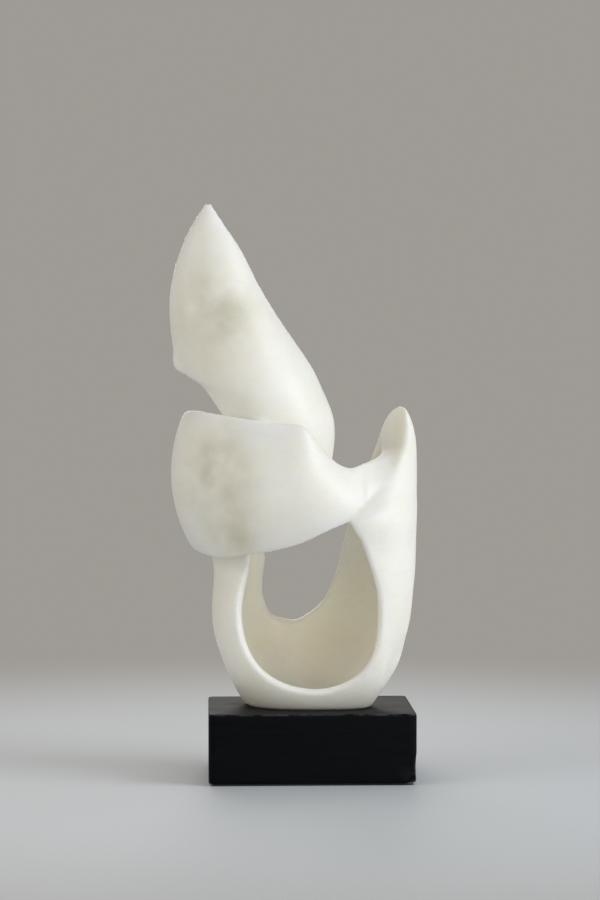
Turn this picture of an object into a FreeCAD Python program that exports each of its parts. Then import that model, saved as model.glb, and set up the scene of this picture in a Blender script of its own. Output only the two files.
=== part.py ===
"""Display plinth with a carved stone form pinned to it.

Millimetres, +Z up. The origin is the middle of the face that rests on the table and the front faces -Y.
A solid ebonised wood block carries the form on two threaded studs. Each stud is bonded into the foot of
the form and drawn down by a nut in a recess under the block, which a felt sheet covers.
"""
import FreeCAD, Part
import os
import Sketcher

Vector = FreeCAD.Vector

# ---------------------------------------------------------------- driving sizes
SIZES = [
    ("block_width", 170.5),
    ("block_depth", 124),
    ("block_height", 57.3),
    ("corner_radius", 4.5),
    ("arris_radius", 1.0),
    ("felt_thickness", 1.5),
    ("felt_inset", 2.5),
    ("felt_corner", 3),
    ("bed_thickness", 0.5),
    ("bed_inset", 2.5),
    ("form_width", 208),
    ("form_depth", 134),
    ("form_height", 418),
    ("wall_thickness", 11),
    ("rim_thickness", 4),
    ("lip_thickness", 8),
    ("stud_diameter", 8),
    ("stud_spacing", 64),
    ("stud_setback", 20),
    ("stud_grip", 13),
    ("stud_tail", 3),
    ("resin_wall", 2),
    ("bore_clearance", 0.5),
    ("recess_diameter", 30),
    ("recess_room", 2),
    ("penny_diameter", 25),
    ("penny_thickness", 1.5),
    ("spring_diameter", 14),
    ("spring_thickness", 2),
    ("spring_gap", 1),
    ("washer_clearance", 0.2),
    ("nut_flats", 13),
    ("nut_thickness", 6.5),
]

# Stations along the two ribbons of the form, in the form's own frame: x and y from the plinth's
# centre, z from the seat, at the nominal size below. Each station has a lower or front edge, a
# middle and an upper or back edge, and its wall as a share of wall_thickness.
FORM_NOMINAL = Vector(208, 134, 418)
PEEL = [
    ((-87, -10, 415), (-84, -12, 417.5), (-82, -11, 415.5), 0.2),
    ((-100, -8, 399), (-86, -18, 402), (-75, -12, 406), 0.65),
    ((-112, -4, 370), (-84, -26, 377), (-57, -13, 380), 0.85),
    ((-118, -2, 332), (-77, -35, 340), (-39, -12, 345), 1),
    ((-111, -4, 285), (-53, -44, 283), (-6, -1, 295), 1),
    ((-94, -16, 270), (-33, -45, 259), (6, 10, 275), 1),
    ((-74, -30, 242), (-10, -38, 240), (13, 25, 255), 1),
    ((-46, -40, 210), (9, -22, 216), (9, 41, 244), 1),
    ((-8, -28, 187), (19, 8, 206), (-12, 54, 234), 1),
    ((14, 12, 173), (4, 44, 198), (-42, 59, 228), 1),
    ((-12, 46, 161), (-36, 58, 194), (-76, 52, 226), 1),
    ((-62, 50, 150), (-86, 47, 189), (-101, 32, 228), 1),
    ((-100, 14, 137), (-116, -2, 190), (-105, -4, 246), 1),
    ((-85, -26, 126), (-96, -38, 186), (-86, -36, 246), 1),
    ((-61, -48, 127), (-63, -62, 186), (-59, -50, 242), 1.1),
    ((-31, -56, 132), (-31, -67, 184), (-23, -53, 237), 1.1),
    ((-6, -56, 139), (-6, -66, 182), (-5, -53, 236), 1.1),
    ((13, -55, 148), (12, -60, 179), (12, -46, 215), 1.1),
    ((36, -46, 158), (30, -49, 180), (30, -35, 202), 1.1),
    ((54, -34, 172), (47, -31, 188), (48, -18, 205), 1),
    ((69, -20, 188), (62, -16, 200), (63, -5, 212), 0.8),
    ((80, -6, 205), (78, -2, 212), (77, 4, 219), 0.4),
]
CUP = [
    ((80, -1, 243), (81, 4, 246), (76, 9, 248), 0.3),
    ((80, -6, 230), (88, 4, 226), (63, 18, 237), 0.8),
    ((74, -14, 207), (90, 6, 203), (55, 30, 215), 1),
    ((63, -27, 188), (90, 6, 182), (46, 39, 187), 1.1),
    ((48, -40, 172), (90, 6, 165), (38, 46, 162), 1.1),
    ((32, -50, 158), (89, 4, 144), (30, 50, 133), 1.1),
    ((39, -50, 142), (88, 4, 115), (25, 53, 111), 1.2),
    ((47, -50, 124), (85, 4, 87), (18, 55, 92), 1.3),
    ((54, -49, 101), (78, 4, 53), (10, 56, 80), 1.5),
    ((57, -49, 76), (61, 3, 22), (1, 57, 73), 1.8),
    ((53, -49, 53), (43, 3, -6), (-5, 57, 69), 2.1),
    ((40, -47, 30), (20, 3, -21), (-12, 57, 67), 2.5),
    ((12, -45, 16), (-2, 3, -24), (-18, 57, 68), 3),
    ((-20, -45, 19), (-30, 3, -17), (-24, 57, 69), 2.7),
    ((-45, -44, 34), (-54, 3, 1), (-30, 56, 72), 2.2),
    ((-58, -42, 55), (-70, 3, 30), (-35, 55, 78), 1.6),
    ((-62, -39, 78), (-80, 3, 59), (-39, 53, 89), 1.3),
    ((-59, -34, 101), (-82, 3, 87), (-39, 50, 103), 1.2),
    ((-51, -26, 124), (-80, 3, 114), (-36, 47, 121), 1.1),
    ((-54, -27, 141), (-86, 5, 137), (-45, 47, 139), 1),
    ((-73, -24, 156), (-96, 8, 156), (-68, 43, 156), 0.9),
    ((-92, -17, 168), (-105, 8, 170), (-87, 35, 169), 0.7),
]
ROWS_PER_STATION = 2
POINTS_ACROSS = 9
RIM_LIMIT = 0.6  # a rim's widest share of the wall behind it
FOOT_TOLERANCE = 0.01
FACES_UP = 0.99  # a normal or tangent this far along Z counts as upright
BED_POINTS = 32
SKETCH_START = 20  # a sketch's own size before its constraints set it

doc = FreeCAD.newDocument("DisplayPlinth")
sheet = doc.addObject("Spreadsheet::Sheet", "Sizes")
for row, (alias, value) in enumerate(SIZES, 1):
    sheet.set(f"A{row}", alias)
    sheet.set(f"B{row}", str(value))
    sheet.setAlias(f"B{row}", alias)
doc.recompute()

FELT = "Sizes.felt_thickness"
BLOCK_TOP = "(Sizes.felt_thickness + Sizes.block_height)"
SEAT = "(Sizes.felt_thickness + Sizes.block_height + Sizes.bed_thickness)"
RECESS = ("(Sizes.recess_room + Sizes.stud_tail + Sizes.nut_thickness"
          " + Sizes.spring_thickness + Sizes.penny_thickness)")
HALF_SPACING = "Sizes.stud_spacing / 2"


def size(alias):
    """A driving size, as a number."""
    return float(sheet.get(alias))


def bind(thing, **expressions):
    """Tie properties of an object to the sheet. Double underscores stand for dots."""
    for name, expression in expressions.items():
        thing.setExpression(name.replace("__", "."), str(expression))


def place(thing, x="0", y="0", z="0"):
    """Put an object at a point given by three expressions."""
    bind(thing, Placement__Base__x=x, Placement__Base__y=y, Placement__Base__z=z)


# ---------------------------------------------------------------- sketches and bodies
def new_sketch(body, name):
    """An empty sketch on the body's own XY plane."""
    sketch = body.newObject("Sketcher::SketchObject", name)
    planes = [item for item in body.Origin.OriginFeatures if item.Role == "XY_Plane"]
    sketch.AttachmentSupport = [(planes[0], "")]
    sketch.MapMode = "FlatFace"
    return sketch


def rectangle(sketch, width, depth):
    """A rectangle centred on the sketch's origin, its sides bound to two expressions."""
    corners = [Vector(-1, -1, 0), Vector(1, -1, 0), Vector(1, 1, 0), Vector(-1, 1, 0)]
    for start, finish in zip(corners, corners[1:] + corners[:1]):
        sketch.addGeometry(Part.LineSegment(start * SKETCH_START, finish * SKETCH_START))
    for side in range(4):
        sketch.addConstraint(Sketcher.Constraint("Coincident", side, 2, (side + 1) % 4, 1))
    for side, kind in enumerate(("Horizontal", "Vertical", "Horizontal", "Vertical")):
        sketch.addConstraint(Sketcher.Constraint(kind, side))
    sketch.addConstraint(Sketcher.Constraint("Symmetric", 0, 1, 1, 2, -1, 1))
    wide = sketch.addConstraint(Sketcher.Constraint("DistanceX", 0, 1, 0, 2, 2 * SKETCH_START))
    deep = sketch.addConstraint(Sketcher.Constraint("DistanceY", 1, 1, 1, 2, 2 * SKETCH_START))
    sketch.setExpression(f"Constraints[{wide}]", width)
    sketch.setExpression(f"Constraints[{deep}]", depth)


def stud_circles(sketch, diameter):
    """Two circles on the studs' centres."""
    for index, side in enumerate((-1, 1)):
        centre = Vector(side * size("stud_spacing") / 2, size("stud_setback"), 0)
        sketch.addGeometry(Part.Circle(centre, Vector(0, 0, 1), SKETCH_START / 2))
        across = sketch.addConstraint(Sketcher.Constraint("DistanceX", -1, 1, index, 3, centre.x))
        back = sketch.addConstraint(Sketcher.Constraint("DistanceY", -1, 1, index, 3, centre.y))
        wide = sketch.addConstraint(Sketcher.Constraint("Diameter", index, SKETCH_START))
        sketch.setExpression(f"Constraints[{across}]", f"{side} * {HALF_SPACING}")
        sketch.setExpression(f"Constraints[{back}]", "Sizes.stud_setback")
        sketch.setExpression(f"Constraints[{wide}]", diameter)


def edge_names(shape, wanted):
    """The names of the edges that a test picks."""
    return [f"Edge{number}" for number, edge in enumerate(shape.Edges, 1) if wanted(edge)]


def slab(name, width, depth, height, corner):
    """A body: a rectangular slab with rounded upright edges. Returns the body and its last feature."""
    body = doc.addObject("PartDesign::Body", name)
    outline = new_sketch(body, name + "_outline")
    rectangle(outline, width, depth)
    pad = body.newObject("PartDesign::Pad", name + "_pad")
    pad.Profile = outline
    bind(pad, Length=height)
    doc.recompute()
    rounded = body.newObject("PartDesign::Fillet", name + "_corners")
    rounded.Base = (pad, edge_names(pad.Shape, lambda edge: abs(edge.tangentAt(0).z) > FACES_UP))
    bind(rounded, Radius=corner)
    doc.recompute()
    return body, rounded


def pocket(body, name, diameter, depth):
    """Two round pockets cut upward from the body's underside, on the studs' centres."""
    before = body.Shape.Volume
    outline = new_sketch(body, name + "_outline")
    stud_circles(outline, diameter)
    cut = body.newObject("PartDesign::Pocket", name)
    cut.Profile = outline
    cut.Reversed = True
    bind(cut, Length=depth)
    doc.recompute()
    if body.Shape.Volume >= before:
        raise RuntimeError(name + " cuts nothing")


def make_plinth_block():
    """The block: softened arrises, a recess under each stud and a bore right through."""
    body, rounded = slab("plinth_block", "Sizes.block_width", "Sizes.block_depth",
                         "Sizes.block_height", "Sizes.corner_radius")
    box = rounded.Shape.BoundBox
    arris = body.newObject("PartDesign::Fillet", "plinth_arris")
    arris.Base = (rounded, edge_names(rounded.Shape, lambda edge: edge.BoundBox.ZLength < box.ZLength / 2))
    bind(arris, Radius="Sizes.arris_radius")
    doc.recompute()
    pocket(body, "nut_recesses", "Sizes.recess_diameter", RECESS)
    pocket(body, "stud_bores", "Sizes.stud_diameter + 2 * Sizes.bore_clearance", "Sizes.block_height")
    place(body, z=FELT)
    return body


def make_base_felt():
    """The felt sheet under the block, which closes both recesses."""
    body, _ = slab("base_felt", "Sizes.block_width - 2 * Sizes.felt_inset",
                   "Sizes.block_depth - 2 * Sizes.felt_inset", FELT, "Sizes.felt_corner")
    return body


# ---------------------------------------------------------------- the carved form
def spline(points):
    """A curve through points, one unit of parameter from each to the next."""
    curve = Part.BSplineCurve()
    curve.interpolate(Points=points, Parameters=[float(i) for i in range(len(points))])
    return curve


def crescent(rails, walls, edge_thickness, at):
    """One section of a ribbon: points on its outer arc and on its inner arc."""
    outer = [rail.value(at) for rail in rails]
    arc = Part.Arc(*outer)
    wall = size("wall_thickness") * walls.value(at).y
    rim = min(edge_thickness, wall * RIM_LIMIT)
    inner = []
    for rail, point, depth in zip(rails, outer, (rim, wall, rim)):
        outward = rail.tangent(at)[0].cross(arc.tangent(arc.parameter(point))[0])
        inner.append(point - outward.normalize() * depth)
    return [spaced(points) for points in (outer, inner)]


def spaced(three):
    """Evenly spaced points on the arc through three points, from the first to the last."""
    points = Part.Arc(*three).toShape().discretize(POINTS_ACROSS)
    if (points[0] - three[0]).Length > (points[-1] - three[0]).Length:
        points.reverse()
    return points


def ribbon(stations, edge_thickness):
    """A solid shell that follows the stations: outer and inner faces, two rims and two ends."""
    scale = (size("form_width") / FORM_NOMINAL.x, size("form_depth") / FORM_NOMINAL.y,
             size("form_height") / FORM_NOMINAL.z)
    rails = []
    for edge in range(3):
        points = [station[edge] for station in stations]
        rails.append(spline([Vector(*(c * k for c, k in zip(point, scale))) for point in points]))
    walls = spline([Vector(i, station[3], 0) for i, station in enumerate(stations)])
    rows = (len(stations) - 1) * ROWS_PER_STATION + 1
    sections = [crescent(rails, walls, edge_thickness, row / ROWS_PER_STATION) for row in range(rows)]
    surfaces = []
    for side in range(2):
        surface = Part.BSplineSurface()
        surface.interpolate([section[side] for section in sections])
        surfaces.append(surface)
    faces = [surface.toShape() for surface in surfaces]
    for end in (0, 1):
        faces.append(Part.makeRuledSurface(*(s.uIso(end).toShape() for s in surfaces), 1))
        faces.append(Part.makeRuledSurface(*(s.vIso(end).toShape() for s in surfaces), 1))
    shell = Part.makeShell(faces)
    shell.sewShape()
    return Part.Solid(shell)


def below_seat():
    """Everything under the form's seat, in the form's own frame."""
    reach = 2 * max(size("form_width"), size("form_depth"), size("form_height"))
    return Part.makeBox(2 * reach, 2 * reach, reach, Vector(-reach, -reach, -reach))


def stud_places():
    """The two studs' names and centres."""
    half = size("stud_spacing") / 2
    return [("left", -half), ("right", half)]


def stud_holes(radius, bottom, top):
    """Two cylinders on the studs' centres."""
    back = size("stud_setback")
    return [Part.makeCylinder(radius, top - bottom, Vector(x, back, bottom)) for _, x in stud_places()]


def feature(name, shape, z):
    """A feature of the document with a shape of its own, raised to z."""
    thing = doc.addObject("Part::Feature", name)
    thing.Shape = shape
    thing.Placement = FreeCAD.Placement(Vector(0, 0, z), FreeCAD.Rotation())
    return thing


def make_stone_form():
    """The peel runs from the free tip round the back and across the front to the horn. The cup runs
    from the horn down the right side, under the bowl and up the left side into the peel."""
    seat = size("felt_thickness") + size("block_height") + size("bed_thickness")
    cup = ribbon(CUP, size("lip_thickness")).cut(below_seat())
    whole = ribbon(PEEL, size("rim_thickness")).fuse(cup)
    socket = size("stud_diameter") / 2 + size("resin_wall")
    depth = size("stud_grip") + size("resin_wall")
    carved = whole.cut(stud_holes(socket, 0, depth))
    if len(carved.Solids) != 1:
        raise RuntimeError("the carved form is not one solid")
    return feature("stone_form", carved.Solids[0], seat)


def make_foot_bed(stone):
    """The thin mortar bed between the foot and the block: the foot's outline, a little smaller, which
    covers the mouth of each socket."""
    seat = stone.Placement.Base.z
    feet = [face for face in stone.Shape.Faces
            if abs(face.CenterOfMass.z - seat) < FOOT_TOLERANCE
            and abs(face.normalAt(0, 0).z) > FACES_UP]
    foot = max(feet, key=lambda face: face.Area)
    share = 1 - 2 * size("bed_inset") / foot.BoundBox.YLength
    middle = Vector(foot.CenterOfMass.x, foot.CenterOfMass.y, 0)
    outline = Part.BSplineCurve()
    outline.interpolate(
        Points=[middle + (Vector(p.x, p.y, 0) - middle) * share
                for p in foot.OuterWire.discretize(BED_POINTS + 1)[:-1]], PeriodicFlag=True)
    thickness = size("bed_thickness")
    pad = Part.Face(Part.Wire(outline.toShape())).extrude(Vector(0, 0, thickness))
    socket = size("stud_diameter") / 2 + size("resin_wall")
    bore = size("stud_diameter") / 2 + size("bore_clearance")
    bed = pad.fuse(stud_holes(socket, 0, thickness)).removeSplitter()
    return feature("foot_bed", bed.cut(stud_holes(bore, 0, thickness)), seat - thickness)


# ---------------------------------------------------------------- fixings
def cylinder(name, diameter, height):
    """A cylinder primitive bound to the sheet."""
    thing = doc.addObject("Part::Cylinder", name)
    bind(thing, Radius=f"({diameter}) / 2", Height=height)
    return thing


def subtract(name, base, *tools):
    """Base with each tool cut from it in turn."""
    for number, tool in enumerate(tools, 1):
        cut = doc.addObject("Part::Cut", name if number == len(tools) else f"{name}_step{number}")
        cut.Base = base
        cut.Tool = tool
        base = cut
    return base


def ring(name, outside, inside, height):
    """A flat ring, its own origin at the middle of its underside."""
    return subtract(name, cylinder(name + "_disc", outside, height), cylinder(name + "_bore", inside, height))


def make_fixings(side, direction):
    """One stud with its resin, washers and nut. Heights are stacked up from the nut's underside."""
    x = f"{direction} * {HALF_SPACING}"
    y = "Sizes.stud_setback"
    ceiling = f"{FELT} + {RECESS}"
    spring_z = f"{ceiling} - Sizes.penny_thickness - Sizes.spring_thickness"
    nut_z = f"{spring_z} - Sizes.nut_thickness"
    foot_z = f"{nut_z} - Sizes.stud_tail"
    loose = "Sizes.stud_diameter + 2 * Sizes.washer_clearance"

    stud = cylinder("stud_" + side, "Sizes.stud_diameter", f"{SEAT} + Sizes.stud_grip - ({foot_z})")
    place(stud, x, y, foot_z)

    name = "stud_resin_" + side
    filling = cylinder(name + "_filling", "Sizes.stud_diameter + 2 * Sizes.resin_wall",
                       "Sizes.stud_grip + Sizes.resin_wall")
    core = cylinder(name + "_core", "Sizes.stud_diameter", "Sizes.stud_grip")
    resin = subtract(name, filling, core)
    place(resin, x, y, SEAT)

    penny = ring("penny_washer_" + side, "Sizes.penny_diameter", loose, "Sizes.penny_thickness")
    place(penny, x, y, f"{ceiling} - Sizes.penny_thickness")

    name = "spring_washer_" + side
    whole = ring(name + "_ring", "Sizes.spring_diameter", loose, "Sizes.spring_thickness")
    split = doc.addObject("Part::Box", name + "_split")
    bind(split, Length="Sizes.spring_diameter", Width="Sizes.spring_gap", Height="Sizes.spring_thickness")
    spring = subtract(name, whole, split)
    place(spring, x, y, spring_z)

    name = "hex_nut_" + side
    hexagon = doc.addObject("Part::Prism", name + "_hexagon")
    hexagon.Polygon = 6
    bind(hexagon, Circumradius="Sizes.nut_flats / sqrt(3)", Height="Sizes.nut_thickness")
    nut = subtract(name, hexagon, cylinder(name + "_thread", "Sizes.stud_diameter", "Sizes.nut_thickness"))
    place(nut, x, y, nut_z)
    return [stud, resin, penny, spring, nut]


# ---------------------------------------------------------------- build, check and write
nodes = [make_plinth_block(), make_base_felt()]
stone_form = make_stone_form()
nodes += [stone_form, make_foot_bed(stone_form)]
for side_name, side_sign in (("left", -1), ("right", 1)):
    nodes += make_fixings(side_name, side_sign)
doc.recompute()

for item in doc.Objects:
    if "Invalid" in item.State or "Error" in item.State:
        raise RuntimeError(f"{item.Name} is {item.State}")
os.makedirs("parts", exist_ok=True)
for node in nodes:
    if node.Shape.isNull() or not node.Shape.isValid() or not node.Shape.Solids:
        raise RuntimeError(node.Name + " has no valid solid")
for node in nodes:
    node.Label = node.Name
    node.Shape.exportStep(f"parts/{node.Label}.step")
    box = node.Shape.optimalBoundingBox()
    spans = [f"{low:.1f}..{high:.1f}" for low, high in
             ((box.XMin, box.XMax), (box.YMin, box.YMax), (box.ZMin, box.ZMax))]
    print(node.Label, len(node.Shape.Solids), round(node.Shape.Volume), *spans)
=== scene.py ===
"""Looks of a display plinth with a carved alabaster form pinned to it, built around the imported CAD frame.

Metres, +Z up, front -Y, origin in the middle of the resting face. The form and the block are carved again
from their CAD solids as fine meshes with eased edges and wear, and a web fills the form out where its band
runs into its horn. The other nodes keep their CAD shape and get a material each.
"""
import math
import bmesh
import bpy
import numpy as np
from mathutils import Euler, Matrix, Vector, noise


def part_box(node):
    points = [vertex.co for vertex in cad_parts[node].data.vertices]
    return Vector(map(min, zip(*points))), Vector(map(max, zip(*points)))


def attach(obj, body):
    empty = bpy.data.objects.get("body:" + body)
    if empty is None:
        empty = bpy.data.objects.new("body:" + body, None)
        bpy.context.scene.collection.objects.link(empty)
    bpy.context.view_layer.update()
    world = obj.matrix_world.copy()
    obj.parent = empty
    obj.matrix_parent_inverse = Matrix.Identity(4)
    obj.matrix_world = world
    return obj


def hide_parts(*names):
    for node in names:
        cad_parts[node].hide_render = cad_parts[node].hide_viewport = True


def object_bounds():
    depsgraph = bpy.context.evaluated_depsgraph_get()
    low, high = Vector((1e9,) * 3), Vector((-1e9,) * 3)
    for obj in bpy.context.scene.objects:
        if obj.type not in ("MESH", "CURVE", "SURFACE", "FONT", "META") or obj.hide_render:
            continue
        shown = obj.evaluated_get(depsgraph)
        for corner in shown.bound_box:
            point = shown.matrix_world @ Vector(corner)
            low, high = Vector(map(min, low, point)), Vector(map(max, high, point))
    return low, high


MM = 0.001

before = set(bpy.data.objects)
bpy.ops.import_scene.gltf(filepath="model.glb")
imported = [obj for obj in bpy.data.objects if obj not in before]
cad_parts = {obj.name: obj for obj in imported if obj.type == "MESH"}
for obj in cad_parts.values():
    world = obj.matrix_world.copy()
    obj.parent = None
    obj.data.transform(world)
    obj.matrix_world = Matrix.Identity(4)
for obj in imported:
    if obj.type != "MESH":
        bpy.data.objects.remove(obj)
cad_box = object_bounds()
scene = bpy.context.scene

# The height of the form's seat on its bed, in millimetres.
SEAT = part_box("stone_form")[0].z / MM

# ------------------------------------------------ carving the form, millimetres
STONE_VOXEL = 1.35

# Slits narrower than twice the closing are filled: a little below the sail, and more in the horn's pocket.
STONE_CLOSING = 1.2
POCKET_CLOSING = 7.0
POCKET_REACH = 34
ROOT_SHARE = 0.8
CLOSING_EASE_ROUNDS = 3

# The closing fades out from this height over this much more, because the sail has no slits.
SAIL_FOOT = 320
SAIL_BLEND = 40

# Smoothing pulls each point to its neighbours' middle and pushes it back, which keeps the form's size.
EASE_PULL = 0.5
EASE_PUSH = 0.52
STONE_EASE_ROUNDS = 10

# The folds are pushed back less, so that they run into each other.
FOLD_EASE_ROUNDS = 60
FOLD_EASE_GAIN = 1.6
FOLD_EASE_PUSH = 0.2

# The foot keeps a crisp edge: the smoothing grows from this share to all over this height.
FOOT_CRISP = 6
FOOT_EASE_SHARE = 0.15

# Slow unevenness left by the hand, as height and width of its lumps. It fades in above the foot.
BROAD_SWELL = 0.22
BROAD_SWELL_WIDTH = 26
FINE_SWELL = 0.06
FINE_SWELL_WIDTH = 9
SWELL_RISE = 4

# Chips along the foot: their depth and width, how few there are, and how high they reach.
CHIP_DEPTH = 3.2
CHIP_WIDTH = 5
CHIP_RARITY = 0.1
CHIP_RISE = 3

# ------------------------------------------------ places on the form, millimetres, with heights from its seat
HORN_POCKET = (66, 6, 222)
HORN_ROOT = (58, 8, 200)
HORN_TIP = (76, 5, 244)
BAND_FOLD = (2, -54, 220)
BAND_TURN = (20, -46, 196)
CREST = (60, -20, 190)
ARM_TOP = (-70, -10, 138)
CUP_SHOULDER = (79, 3, 57)
CUP_HAUNCH = (66, 3, 30)
NOTCH_CORNER = (-111, -4, 285)
SAIL_TIP = (-84, -11, 417)

# Folds that are smoothed harder than the rest: place and reach.
FOLDS = (
    (HORN_POCKET, 40),
    (HORN_ROOT, 34),
    (BAND_FOLD, 38),
    (BAND_TURN, 34),
    (CREST, 22),
    (ARM_TOP, 24),
    (CUP_SHOULDER, 30),
)

# Places that are drawn out after the smoothing: place, reach and pull.
PULLS = (
    (NOTCH_CORNER, 15, (-2.8, 0.0, -2.4)),
    (SAIL_TIP, 24, (0.0, 0.0, 3.2)),
    (HORN_TIP, 36, (-0.6, 0.0, 3.6)),
    (CUP_HAUNCH, 36, (4.6, 0.0, -1.6)),
)

# The web that turns the band's surface into the inside of the horn: its ridge, middle and far edge.
WEB = (
    ((44, -41, 171), (44, -36, 187), (42, -23, 203)),
    ((56, -32, 181), (55, -25, 193), (52, -11, 206)),
    ((66, -21, 194), (65, -13, 202), (58, 3, 210)),
    ((74, -12, 208), (72, -3, 213), (60, 14, 218)),
    ((78, -6, 224), (74, 6, 226), (61, 18, 229)),
    ((80, -3, 235), (75, 7, 237), (66, 15, 240)),
)
WEB_THICKNESS = 7
WEB_ROWS = 21
WEB_COLUMNS = 9

# ------------------------------------------------ carving the block, millimetres
BLOCK_VOXEL = 1.3
BLOCK_EASE_ROUNDS = 3

# Wear along the arrises: how far in it reaches, and the depth and width of its dips and nicks.
WEAR_REACH = 3.0
DIP_DEPTH = 0.15
DIP_WIDTH = 14
NICK_DEPTH = 0.35
NICK_WIDTH = 4
NICK_RARITY = 0.4

# The knocked front right corner. Each knock has its height above the underside, its reach and its share.
KNOCK_INSET = 1
KNOCKS = ((1.5, 9, 1.0), (12, 15, 0.7))
KNOCK_DEPTH = 2.2
KNOCK_ROUGHNESS = 0.5
KNOCK_WIDTH = 2.6

# ------------------------------------------------ painted shade and painted glow on the stone, millimetres in the frame
# Each has its centre and its reach.
# Painted shade: darker, greener patches on the front left faces of the sail and band, away from the key
# light.
PAINTED_SHADE_PLACES = (
    ((-75, -38, 388), 56),
    ((-82, -52, 256), 56),
    ((-66, -58, 205), 40),
)
# Painted light: a warm glow in the bowl, for light bounced inside it and shone through the stone.
PAINTED_BOWL_GLOW = ((5, 15, 120), 95)

# ------------------------------------------------ colours
STONE_MILKY = (0.885, 0.87, 0.80)
STONE_WHITE = (0.915, 0.907, 0.86)
STONE_CLOUD = (0.74, 0.73, 0.63)
# The colour of the painted shade on the left faces.
PAINTED_SHADE_TINT = (0.585, 0.57, 0.455)
# The colour of the painted warm glow in the bowl.
PAINTED_GLOW_HONEY = (0.93, 0.865, 0.69)
STONE_VEIN = (0.66, 0.63, 0.54)
BLACK_DEEP = (0.0007, 0.0009, 0.0016)
BLACK_GRAIN = (0.0022, 0.0026, 0.0042)
# Dust, and a painted reflection of the backdrop, on the block's top.
BLACK_DUST_AND_REFLECTION = (0.036, 0.032, 0.0295)
# Wear, and a painted highlight, on the block's upper arrises.
BLACK_WEAR_AND_HIGHLIGHT = (0.075, 0.075, 0.08)
FELT_DARK = (0.012, 0.012, 0.014)
FELT_LIGHT = (0.04, 0.04, 0.045)
MORTAR_DARK = (0.10, 0.095, 0.085)
MORTAR_LIGHT = (0.28, 0.265, 0.24)
ZINC_DARK = (0.52, 0.53, 0.55)
ZINC_LIGHT = (0.70, 0.71, 0.72)
RESIN_AMBER = (0.30, 0.27, 0.21)
RESIN_MILKY = (0.42, 0.39, 0.31)
RESIN_BUBBLE = (0.6, 0.58, 0.52)
FLOOR_PALE = (0.60, 0.63, 0.66)
BACKDROP = (0.345, 0.325, 0.30)

# ------------------------------------------------ stage, lights and camera, metres
FLOOR_RADIUS = 6.0
FLOOR_SIDES = 96

# The floor melts into the backdrop between these distances from the middle.
FLOOR_NEAR = 0.30
FLOOR_FAR = 1.0

# Each light has its name, place, width and height, watts and colour. All face the aim.
LIGHT_AIM = (0, 0, 0.24)
LIGHTS = (
    ("key_window", (1.75, -0.75, 1.05), (1.3, 1.5), 28.5, (0.9, 0.95, 1.0)),
    ("left_fill", (-1.7, -0.7, 0.9), (1.4, 1.4), 9, (1.0, 0.985, 0.955)),
    ("low_front", (0.8, -2.1, 0.3), (0.9, 0.7), 7.5, (0.95, 0.975, 1.0)),
    ("rear_fill", (-0.3, 2.0, 1.2), (1.4, 1.2), 12, (1.0, 0.985, 0.96)),
)

# The lens and the sensor are in millimetres, and the two angles in degrees below level and to the right.
CAMERA_PLACE = (-0.087, -2.207, 0.3368)
CAMERA_LENS = 105.6
CAMERA_SENSOR = 36
CAMERA_DIP = 1.66
CAMERA_TURN = 2.04


# ------------------------------------------------ mesh helpers
# How far apart the noise of one seed lies from that of the next, in lumps.
SEED_STEP = (3.7, 5.3, 7.9)


def points_of(mesh):
    """Vertex positions in millimetres, one row each."""
    flat = np.empty(len(mesh.vertices) * 3)
    mesh.vertices.foreach_get("co", flat)
    return flat.reshape(-1, 3) / MM


def normals_of(mesh):
    """Vertex normals, one row each."""
    flat = np.empty(len(mesh.vertices) * 3)
    mesh.vertex_normals.foreach_get("vector", flat)
    return flat.reshape(-1, 3)


def set_points(mesh, points):
    """Moves the mesh's vertices to these positions, given in millimetres."""
    mesh.vertices.foreach_set("co", (points * MM).ravel())
    mesh.update()


def voxelled(mesh, voxel):
    """The mesh made again as an even skin of squares about one voxel wide."""
    holder = bpy.data.objects.new("working_holder", mesh)
    scene.collection.objects.link(holder)
    remesh = holder.modifiers.new("voxels", "REMESH")
    remesh.mode = "VOXEL"
    remesh.voxel_size = voxel * MM
    ready = holder.evaluated_get(bpy.context.evaluated_depsgraph_get())
    result = bpy.data.meshes.new_from_object(ready)
    bpy.data.objects.remove(holder)
    return result


def joined(first, second):
    """One mesh that holds both."""
    both = bmesh.new()
    both.from_mesh(first)
    both.from_mesh(second)
    result = bpy.data.meshes.new("both")
    both.to_mesh(result)
    both.free()
    return result


def eased(mesh, points, rounds, share=1.0, push=EASE_PUSH):
    """Points smoothed towards their neighbours and part of the way back. The share can differ by point."""
    ends = np.empty(len(mesh.edges) * 2, np.int64)
    mesh.edges.foreach_get("vertices", ends)
    first, second = ends.reshape(-1, 2).T
    many = len(points)
    neighbours = np.maximum(np.bincount(ends, minlength=many), 1)
    share = np.broadcast_to(share, many)[:, None]
    for _ in range(rounds):
        for step in (EASE_PULL, -push):
            sums = [
                np.bincount(first, column[second], many) + np.bincount(second, column[first], many)
                for column in points.T
            ]
            middle = np.stack(sums, axis=1) / neighbours[:, None]
            points = points + step * share * (middle - points)
    return points


def ripple(points, width, seed):
    """Smooth noise between -1 and 1 at every point, with lumps about this many millimetres wide."""
    shift = Vector([seed * step for step in SEED_STEP])
    return np.array([noise.noise(Vector(p) / width + shift) for p in points])


def near(points, centre, reach):
    """1 at the centre, falling smoothly to 0 at this distance."""
    close = np.clip(1 - np.linalg.norm(points - np.array(centre), axis=1) / reach, 0, 1)
    return close ** 2 * (3 - 2 * close)


def finished(name, mesh, node, material):
    """Puts a finished mesh in the scene in place of its CAD node."""
    mesh.name = name
    for polygon in mesh.polygons:
        polygon.use_smooth = True
    mesh.materials.clear()
    mesh.materials.append(material)
    piece = bpy.data.objects.new(name, mesh)
    scene.collection.objects.link(piece)
    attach(piece, "root")
    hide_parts(node)


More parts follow.
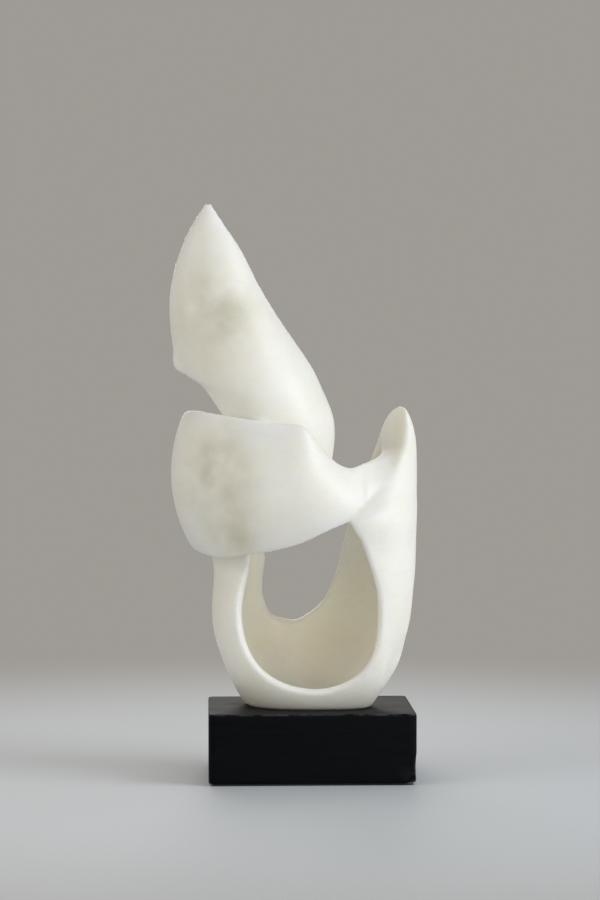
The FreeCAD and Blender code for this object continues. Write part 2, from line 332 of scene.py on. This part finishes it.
# ------------------------------------------------ material helpers
class Paint:
    """A material's node tree, with short calls for the nodes used here."""

    def __init__(self, name):
        self.material = bpy.data.materials.new(name)
        self.material.use_nodes = True
        self.tree = self.material.node_tree
        self.shader = self.tree.nodes["Principled BSDF"]
        self.place = self.tree.nodes.new("ShaderNodeTexCoord").outputs["Object"]

    def link(self, source, target):
        """Joins an output to an input."""
        self.tree.links.new(source, target)

    def feed(self, **sources):
        """Joins outputs to the shader's own sockets."""
        for socket, source in sources.items():
            self.link(source, self.shader.inputs[socket.replace("_", " ")])

    def fixed(self, **values):
        """Uniform values, on the shader's own sockets."""
        for socket, value in values.items():
            self.shader.inputs[socket.replace("_", " ")].default_value = value

    def stretched(self, x=1.0, y=1.0, z=1.0):
        """The place on the object, scaled along each axis: below 1 draws a noise out along it."""
        node = self.tree.nodes.new("ShaderNodeMapping")
        node.inputs["Scale"].default_value = (x, y, z)
        self.link(self.place, node.inputs["Vector"])
        return node.outputs["Vector"]

    def noise(self, per_metre, detail, rough=0.5, distortion=0.0, place=None):
        """Noise with this many lumps in a metre."""
        node = self.tree.nodes.new("ShaderNodeTexNoise")
        node.inputs["Scale"].default_value = per_metre
        node.inputs["Detail"].default_value = detail
        node.inputs["Roughness"].default_value = rough
        node.inputs["Distortion"].default_value = distortion
        self.link(place or self.place, node.inputs["Vector"])
        return node.outputs["Fac"]

    def spread(self, source, low, high, to_low=0.0, to_high=1.0):
        """Maps a range of the source smoothly to another range, and holds it there."""
        node = self.tree.nodes.new("ShaderNodeMapRange")
        node.interpolation_type = "SMOOTHSTEP"
        self.link(source, node.inputs["Value"])
        limits = {"From Min": low, "From Max": high, "To Min": to_low, "To Max": to_high}
        for socket, value in limits.items():
            node.inputs[socket].default_value = value
        return node.outputs["Result"]

    def maths(self, operation, first, second=0.0):
        """One operation on two values. Each is a number or another node's output."""
        node = self.tree.nodes.new("ShaderNodeMath")
        node.operation = operation
        for socket, value in zip(node.inputs, (first, second)):
            if isinstance(value, (int, float)):
                socket.default_value = value
            else:
                self.link(value, socket)
        return node.outputs["Value"]

    def times(self, first, second):
        """The product of two values."""
        return self.maths("MULTIPLY", first, second)

    def mix(self, share, under, over):
        """The colour between under and over. Each is a colour or another node's output."""
        node = self.tree.nodes.new("ShaderNodeMix")
        node.data_type = "RGBA"
        self.link(share, node.inputs["Factor"])
        for name, value in (("A", under), ("B", over)):
            socket = next(s for s in node.inputs if s.name == name and s.type == "RGBA")
            if isinstance(value, tuple):
                socket.default_value = (*value, 1.0)
            else:
                self.link(value, socket)
        return next(s for s in node.outputs if s.type == "RGBA")

    def spot(self, centre, reach):
        """1 at a place on the object, in millimetres, falling to 0 at this distance."""
        node = self.tree.nodes.new("ShaderNodeVectorMath")
        node.operation = "DISTANCE"
        self.link(self.place, node.inputs[0])
        node.inputs[1].default_value = Vector(centre) * MM
        return self.spread(node.outputs["Value"], 0.0, reach * MM, to_low=1.0, to_high=0.0)

    def upward(self):
        """How far the skin looks up: 1 on level tops, 0 on upright sides."""
        split = self.tree.nodes.new("ShaderNodeSeparateXYZ")
        self.link(self.tree.nodes.new("ShaderNodeNewGeometry").outputs["Normal"], split.inputs["Vector"])
        return split.outputs["Z"]

    def bump(self, source, height, before=None):
        """Small relief, its height in millimetres, on top of the relief before it."""
        node = self.tree.nodes.new("ShaderNodeBump")
        node.inputs["Strength"].default_value = 1.0
        node.inputs["Distance"].default_value = height * MM
        self.link(source, node.inputs["Height"])
        if before:
            self.link(before, node.inputs["Normal"])
        return node.outputs["Normal"]


# ------------------------------------------------ materials
def alabaster():
    """Pale translucent stone: cloudy patches, faint veins, painted shade on the left faces, a painted warm
    glow in the bowl, a satin hand-rubbed skin and a fine grain.
    """
    paint = Paint("pale_stone")
    haze = paint.spread(paint.noise(24, detail=3), 0.3, 0.75)
    body = paint.mix(haze, STONE_MILKY, STONE_WHITE)

    clouds = paint.spread(paint.noise(9, detail=3, distortion=0.4), 0.46, 0.74)
    body = paint.mix(paint.times(clouds, 0.3), body, STONE_CLOUD)

    # Painted shade on the left faces, broken up by a mottle.
    mottle = paint.spread(paint.noise(30, detail=4), 0.25, 0.7)
    for centre, reach in PAINTED_SHADE_PLACES:
        shade_patch = paint.times(paint.spot(centre, reach), mottle)
        body = paint.mix(paint.times(shade_patch, 0.8), body, PAINTED_SHADE_TINT)
    # Painted light: a warm honey glow in the bowl.
    body = paint.mix(paint.times(paint.spot(*PAINTED_BOWL_GLOW), 0.75), body, PAINTED_GLOW_HONEY)

    # A vein runs wherever this noise crosses its middle value.
    flow = paint.noise(11, detail=5, rough=0.6, distortion=1.6, place=paint.stretched(x=0.6, y=0.6, z=1.7))
    off_middle = paint.maths("ABSOLUTE", paint.maths("SUBTRACT", flow, 0.5))
    vein = paint.spread(off_middle, 0.0, 0.018, to_low=1.0, to_high=0.0)
    body = paint.mix(paint.times(vein, 0.09), body, STONE_VEIN)

    satin = paint.spread(paint.noise(60, detail=4), 0.3, 0.7, to_low=0.36, to_high=0.5)
    grain = paint.bump(paint.noise(900, detail=3, rough=0.6), height=0.035)
    rubbed = paint.bump(paint.noise(130, detail=3), height=0.12, before=grain)
    paint.feed(Base_Color=body, Roughness=satin, Normal=rubbed)
    paint.fixed(
        IOR=1.52,
        Subsurface_Weight=0.7,
        Subsurface_Radius=(1.0, 0.88, 0.62),
        Subsurface_Scale=0.015,
    )
    return paint.material


def ebonised_wood():
    """Black-stained block: faint horizontal grain, a greyer upper arris of wear and painted highlight, and
    dust, scuffs and a painted reflection on the top.
    """
    paint = Paint("ebonised_wood")
    grain = paint.noise(620, detail=4, rough=0.65, distortion=0.2, place=paint.stretched(x=0.05))
    body = paint.mix(paint.spread(grain, 0.3, 0.7), BLACK_DEEP, BLACK_GRAIN)

    upward = paint.upward()
    # The whole top is lightened, more in scuffs: dust and scuffs, and a painted reflection of the grey
    # backdrop in the satin.
    scuff_place = paint.stretched(x=0.55, y=1.3)
    scuff = paint.noise(34, detail=5, rough=0.62, distortion=1.2, place=scuff_place)
    scuff = paint.spread(scuff, 0.5, 0.74, to_low=0.3, to_high=1.0)
    dust_and_reflection = paint.times(paint.spread(upward, 0.7, 0.98), scuff)
    body = paint.mix(paint.times(dust_and_reflection, 0.85), body, BLACK_DUST_AND_REFLECTION)

    # The arris is where the skin leans back, between upright and level.
    arris = paint.times(paint.spread(upward, 0.15, 0.5), paint.spread(upward, 0.98, 0.75))
    # The upper arrises are greyed in patches: wear, and a painted highlight where they catch the light.
    wear_and_highlight = paint.times(arris, paint.spread(paint.noise(85, detail=4), 0.35, 0.7))
    body = paint.mix(wear_and_highlight, body, BLACK_WEAR_AND_HIGHLIGHT)

    polish = paint.spread(grain, 0.25, 0.75, to_low=0.36, to_high=0.5)
    rough = paint.maths("ADD", polish, paint.times(dust_and_reflection, 0.35))
    brushed = paint.bump(grain, height=0.05)
    dented = paint.bump(paint.noise(70, detail=3), height=0.1, before=brushed)
    paint.feed(Base_Color=body, Roughness=rough, Normal=dented)
    paint.fixed(IOR=1.5, Specular_IOR_Level=0.08)
    return paint.material


def felt():
    """Charcoal wool felt with matted fibres."""
    paint = Paint("felt")
    fibres = paint.noise(1500, detail=4, rough=0.7, distortion=1.5)
    tufts = paint.bump(paint.noise(260, detail=3, rough=0.6), height=0.2)
    matted = paint.bump(fibres, height=0.15, before=tufts)
    paint.feed(Base_Color=paint.mix(fibres, FELT_DARK, FELT_LIGHT), Normal=matted)
    paint.fixed(Roughness=0.95, Sheen_Weight=0.35, Sheen_Roughness=0.5)
    return paint.material


def mortar():
    """Thin grey bedding under the stone's foot."""
    paint = Paint("mortar")
    sand = paint.noise(1300, detail=4, rough=0.7)
    paint.feed(Base_Color=paint.mix(sand, MORTAR_DARK, MORTAR_LIGHT), Normal=paint.bump(sand, height=0.12))
    paint.fixed(Roughness=0.85)
    return paint.material


def zinc_steel():
    """Bright zinc plating with a faint spangle and handling marks."""
    paint = Paint("zinc_steel")
    spangle = paint.noise(420, detail=3, rough=0.6)
    marks = paint.noise(2400, detail=2, place=paint.stretched(z=0.12))
    paint.feed(
        Base_Color=paint.mix(spangle, ZINC_DARK, ZINC_LIGHT),
        Roughness=paint.spread(marks, 0.3, 0.7, to_low=0.24, to_high=0.42),
        Normal=paint.bump(marks, height=0.01),
    )
    paint.fixed(Metallic=1.0)
    return paint.material


def resin():
    """Cured anchor resin, amber grey and slightly milky, with tiny trapped bubbles."""
    paint = Paint("resin")
    milk = paint.noise(240, detail=4, rough=0.6)
    bubbles = paint.spread(paint.noise(1600, detail=1, rough=0.3), 0.68, 0.74)
    paint.feed(
        Base_Color=paint.mix(bubbles, paint.mix(milk, RESIN_AMBER, RESIN_MILKY), RESIN_BUBBLE),
        Roughness=paint.spread(milk, 0.3, 0.7, to_low=0.22, to_high=0.38),
        Normal=paint.bump(bubbles, height=0.05),
    )
    return paint.material


def floor_finish():
    """Plain pale floor that melts into the backdrop away from the object."""
    paint = Paint("floor_finish")
    away = paint.tree.nodes.new("ShaderNodeVectorMath")
    away.operation = "LENGTH"
    paint.link(paint.place, away.inputs[0])
    glow = paint.tree.nodes.new("ShaderNodeEmission")
    glow.inputs["Color"].default_value = (*BACKDROP, 1.0)
    blend = paint.tree.nodes.new("ShaderNodeMixShader")
    paint.link(paint.spread(away.outputs["Value"], FLOOR_NEAR, FLOOR_FAR), blend.inputs[0])
    paint.link(paint.shader.outputs["BSDF"], blend.inputs[1])
    paint.link(glow.outputs["Emission"], blend.inputs[2])
    paint.link(blend.outputs["Shader"], paint.tree.nodes["Material Output"].inputs["Surface"])
    paint.fixed(Base_Color=(*FLOOR_PALE, 1.0), Roughness=0.6, Specular_IOR_Level=0.25)
    return paint.material


# ------------------------------------------------ the web between band and horn
def web_surface():
    """The web's visible face as a grid of points: a smooth arc across at each of its rows."""
    stations = np.array(WEB, float) + (0, 0, SEAT)
    along = np.linspace(0, len(WEB) - 1, WEB_ROWS)
    first, middle, last = (
        np.stack([np.interp(along, range(len(WEB)), stations[:, k, axis]) for axis in range(3)], axis=1)
        for k in range(3)
    )
    across = np.linspace(0, 1, WEB_COLUMNS)[None, :, None]
    weights = (2 * (across - 0.5) * (across - 1), 4 * across * (1 - across), 2 * across * (across - 0.5))
    return sum(w * edge[:, None, :] for w, edge in zip(weights, (first, middle, last)))


def web_mesh():
    """The web as a closed plate behind its visible face."""
    front = web_surface()
    normal = np.cross(np.gradient(front, axis=0), np.gradient(front, axis=1))
    normal /= np.linalg.norm(normal, axis=2, keepdims=True)
    normal *= np.sign(-normal[..., 1:2])
    back = front - WEB_THICKNESS * normal
    number = np.arange(WEB_ROWS * WEB_COLUMNS).reshape(WEB_ROWS, WEB_COLUMNS)
    faces = []
    for shift, turn in ((0, 1), (number.size, -1)):
        for i in range(WEB_ROWS - 1):
            for j in range(WEB_COLUMNS - 1):
                ring = [number[i, j], number[i + 1, j], number[i + 1, j + 1], number[i, j + 1]]
                faces.append([int(n) + shift for n in ring][::turn])
    rim = [*number[0, :], *number[1:, -1], *number[-1, -2::-1], *number[-2:0:-1, 0]]
    for here, there in zip(rim, rim[1:] + rim[:1]):
        faces.append([int(n) for n in (here, there, there + number.size, here + number.size)])
    mesh = bpy.data.meshes.new("horn_web")
    mesh.from_pydata(np.concatenate([front, back]).reshape(-1, 3) * MM, [], faces)
    return mesh


# ------------------------------------------------ the carved form
def from_seat(place):
    """A place on the form as a place in the frame."""
    return (place[0], place[1], place[2] + SEAT)


def closing_depth(points):
    """How far the closing reaches at each point: deepest in the horn's pocket, nothing up the sail."""
    pocket = np.maximum(
        near(points, from_seat(HORN_POCKET), POCKET_REACH),
        near(points, from_seat(HORN_ROOT), POCKET_REACH * ROOT_SHARE),
    )
    sail = np.clip((points[:, 2] - SEAT - SAIL_FOOT) / SAIL_BLEND, 0, 1)
    return (STONE_CLOSING * (1 - sail) + (POCKET_CLOSING - STONE_CLOSING) * pocket)[:, None]


def closed(mesh):
    """Fills the form's slits and rounds its inside corners: the skin swells, then sinks back."""
    for way in (1, -1):
        points = eased(mesh, points_of(mesh), CLOSING_EASE_ROUNDS)
        set_points(mesh, points)
        set_points(mesh, points + way * closing_depth(points) * normals_of(mesh))
        mesh = voxelled(mesh, STONE_VOXEL)
    return mesh


def smoothed(mesh):
    """The form's points with every edge eased, less at the foot, and the folds run into each other."""
    points = points_of(mesh)
    share = np.clip((points[:, 2] - SEAT) / FOOT_CRISP, FOOT_EASE_SHARE, 1)
    points = eased(mesh, points, STONE_EASE_ROUNDS, share)
    fold = np.maximum.reduce([near(points, from_seat(place), reach) for place, reach in FOLDS])
    return eased(mesh, points, FOLD_EASE_ROUNDS, np.minimum(FOLD_EASE_GAIN * fold, 1), FOLD_EASE_PUSH)


def pulled(points):
    """The form's points with its tips, notch and haunch drawn out."""
    for place, reach, pull in PULLS:
        points = points + near(points, from_seat(place), reach)[:, None] * np.array(pull)
    return points


def weathered(points, normals):
    """The form's points with slow unevenness above the foot and chips along it, no lower than the seat."""
    broad = BROAD_SWELL * ripple(points, BROAD_SWELL_WIDTH, seed=1)
    fine = FINE_SWELL * ripple(points, FINE_SWELL_WIDTH, seed=2)
    above = np.clip((points[:, 2] - SEAT) / SWELL_RISE, 0, 1)
    points = points + normals * ((broad + fine) * above)[:, None]
    chips = np.clip(ripple(points, CHIP_WIDTH, seed=3) - CHIP_RARITY, 0, 1)
    chips = chips * np.clip(1 - (points[:, 2] - SEAT) / CHIP_RISE, 0, 1)
    points = points - normals * (chips * CHIP_DEPTH)[:, None] * np.array([1, 1, 0])
    points[:, 2] = np.maximum(points[:, 2], SEAT)
    return points


def carve_form():
    """The stone form: the CAD solid with the web added, slits filled, edges eased and its skin worn."""
    source = joined(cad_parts["stone_form"].data, web_mesh())
    mesh = closed(voxelled(source, STONE_VOXEL))
    points = pulled(smoothed(mesh))
    set_points(mesh, points)
    low, high = (np.array(corner) / MM for corner in cad_box)
    set_points(mesh, np.clip(weathered(points, normals_of(mesh)), low, high))
    finished("alabaster_form", mesh, "stone_form", alabaster())


# ------------------------------------------------ the block
def carve_block():
    """The plinth: the CAD solid with softened, slightly uneven arrises and one knocked corner."""
    mesh = voxelled(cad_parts["plinth_block"].data, BLOCK_VOXEL)
    points = eased(mesh, points_of(mesh), BLOCK_EASE_ROUNDS)
    set_points(mesh, points)
    low, high = (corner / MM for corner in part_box("plinth_block"))
    normals = normals_of(mesh)

    # Of a point's distances to the box on the three axes, the second smallest says how near an edge it is.
    edge = np.sort(np.minimum(points - np.array(low), np.array(high) - points), axis=1)[:, 1]
    wear = np.clip(1 - edge / WEAR_REACH, 0, 1)
    dips = DIP_DEPTH * np.clip(ripple(points, DIP_WIDTH, seed=5), 0, 1)
    nicks = NICK_DEPTH * np.clip(ripple(points, NICK_WIDTH, seed=6) - NICK_RARITY, 0, 1)
    points = points - normals * (wear * (dips + nicks))[:, None]

    knocked = np.maximum.reduce(
        [
            share * near(points, (high.x - KNOCK_INSET, low.y + KNOCK_INSET, low.z + height), reach)
            for height, reach, share in KNOCKS
        ]
    )
    rough = 1 + KNOCK_ROUGHNESS * ripple(points, KNOCK_WIDTH, seed=7)
    points = points - normals * (knocked * KNOCK_DEPTH * rough)[:, None]
    set_points(mesh, np.clip(points, np.array(low), np.array(high)))
    finished("ebonised_block", mesh, "plinth_block", ebonised_wood())


# ------------------------------------------------ the nodes that keep their CAD shape
def paint_nodes():
    """Felt, mortar and resin on their own nodes, and zinc on all the fastenings."""
    finishes = {"base_felt": felt(), "foot_bed": mortar(), "stud_resin": resin()}
    zinc = zinc_steel()
    for name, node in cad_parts.items():
        if name in ("stone_form", "plinth_block"):
            continue
        kind = name.removesuffix("_left").removesuffix("_right")
        node.data.materials.clear()
        node.data.materials.append(finishes.get(kind, zinc))


# ------------------------------------------------ stage, lights and camera
def make_floor():
    """The floor that the object rests on."""
    bpy.ops.mesh.primitive_circle_add(
        vertices=FLOOR_SIDES, radius=FLOOR_RADIUS, fill_type="NGON", location=(0, 0, 0)
    )
    floor = bpy.context.object
    floor.name = "floor"
    floor.data.materials.append(floor_finish())


def make_backdrop():
    """One plain colour all round."""
    world = bpy.data.worlds.new("studio")
    world.use_nodes = True
    world.node_tree.nodes["Background"].inputs["Color"].default_value = (*BACKDROP, 1.0)
    scene.world = world


def make_light(name, place, size, watts, colour):
    """A soft box at this place, turned to face the aim."""
    light = bpy.data.lights.new(name, "AREA")
    light.shape = "RECTANGLE"
    light.size, light.size_y = size
    light.energy = watts
    light.color = colour
    lamp = bpy.data.objects.new(name, light)
    lamp.location = place
    lamp.rotation_euler = (Vector(LIGHT_AIM) - Vector(place)).to_track_quat("-Z", "Y").to_euler()
    scene.collection.objects.link(lamp)


def make_camera():
    """The camera stands a little left of the middle and looks almost level."""
    camera = bpy.data.cameras.new("camera")
    camera.lens = CAMERA_LENS
    camera.sensor_width = CAMERA_SENSOR
    holder = bpy.data.objects.new("camera", camera)
    holder.location = CAMERA_PLACE
    holder.rotation_euler = Euler((math.radians(90 - CAMERA_DIP), 0, math.radians(-CAMERA_TURN)))
    scene.collection.objects.link(holder)
    scene.camera = holder


scene.view_settings.view_transform = "Standard"
make_floor()
make_backdrop()
for row in LIGHTS:
    make_light(*row)
make_camera()
carve_form()
carve_block()
paint_nodes()
